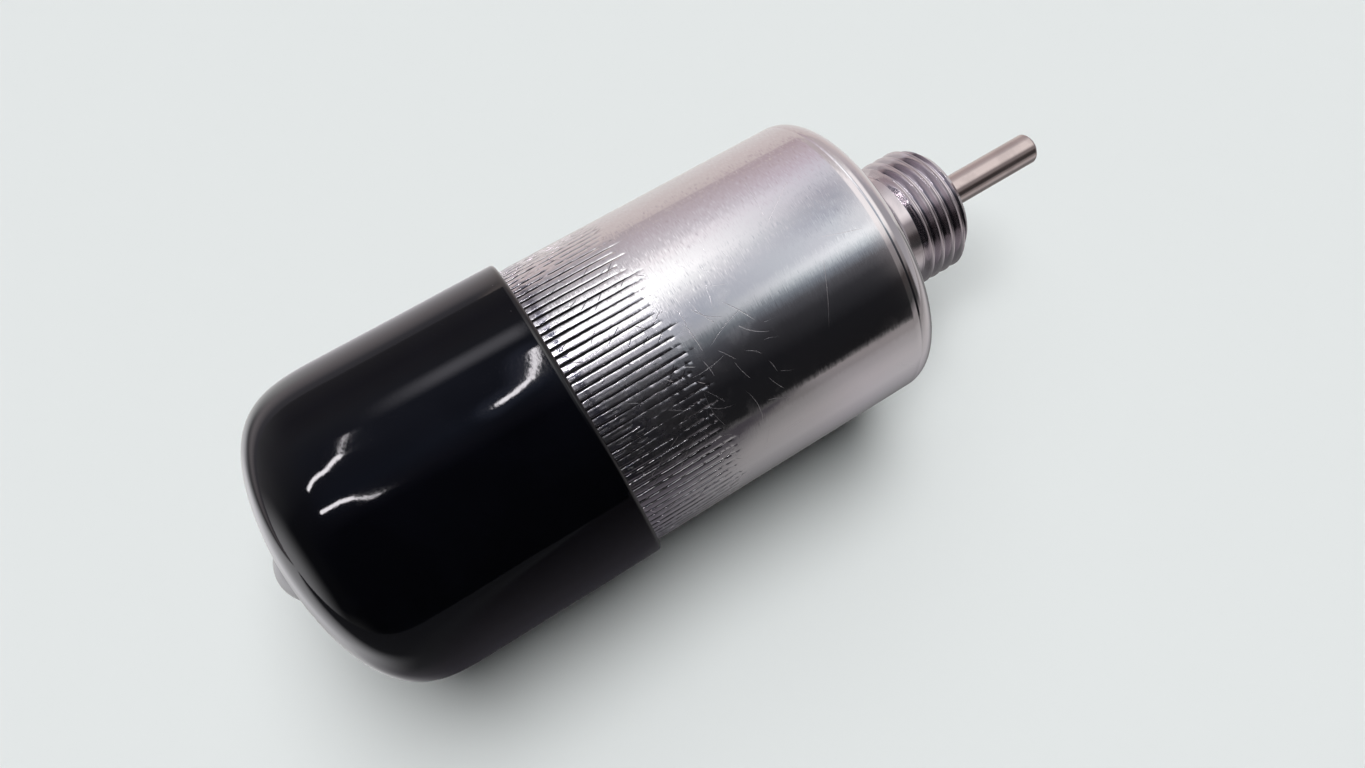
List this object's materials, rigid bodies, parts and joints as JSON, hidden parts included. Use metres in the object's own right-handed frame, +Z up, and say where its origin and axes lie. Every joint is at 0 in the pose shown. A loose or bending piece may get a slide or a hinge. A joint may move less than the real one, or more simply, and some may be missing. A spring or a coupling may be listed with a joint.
{
  "type": "push pull solenoid",
  "caption": "Round push-pull solenoid: steel housing with a straight-knurled band, threaded neck, sprung push pin and a black vinyl cap over its blade terminals.",
  "frame": {"origin": "centre of the housing's front face, the ring that seats against the panel that the neck screws into", "axes": "+X along the axis towards the push pin, +Y towards the left terminal, +Z up"},
  "size_m": [0.1022, 0.037, 0.037],
  "materials": {
    "plated_housing": "bright zinc plate, slightly smeared, fine scratches",
    "plated_neck": "bright zinc plate on turned steel",
    "pin_steel": "ground steel, warm tint",
    "core_steel": "turned soft iron",
    "spring_steel": "drawn spring wire",
    "bronze": "sintered bronze",
    "brass": "bright brass",
    "copper": "enamelled copper wire",
    "rubber": "moulded rubber",
    "nylon": "natural nylon",
    "fibre": "vulcanised fibre",
    "tape": "amber insulating tape",
    "phenolic": "brown paper phenolic",
    "vinyl": "dip-moulded black vinyl, glossy"
  },
  "bodies": {
    "solenoid_body": {"housing": "plated_housing", "threaded_neck": "plated_neck", "guide_bush": "bronze", "wiper_seal": "rubber", "seal_washer": "spring_steel", "stop_washer": "fibre", "guide_tube": "brass", "return_spring": "spring_steel", "rear_core": "core_steel", "flux_plate": "core_steel", "coil_bobbin": "nylon", "coil_winding": "copper", "winding_tape": "tape", "wave_washer": "spring_steel", "lead_wires": "copper", "lead_sleeves": "nylon", "terminal_plate": "phenolic", "plate_gasket": "rubber", "left_terminal": "brass", "right_terminal": "brass", "terminal_rivets": "brass"},
    "plunger_unit": {"push_pin": "pin_steel", "plunger": "core_steel", "cross_pin": "spring_steel"},
    "cap": {"vinyl_cap": "vinyl"}
  },
  "joints": [
    {"name": "plunger_slide", "type": "slide", "parent": "solenoid_body", "child": "plunger_unit", "axis": [1, 0, 0], "range_m": [-0.009, 0], "stiffness_N_per_m": 800, "springref_m": 0.01, "deforming": ["return_spring"]},
    {"name": "cap_pull", "type": "slide", "parent": "solenoid_body", "child": "cap", "axis": [-1, 0, 0], "range_m": [0, 0.035]}
  ]
}
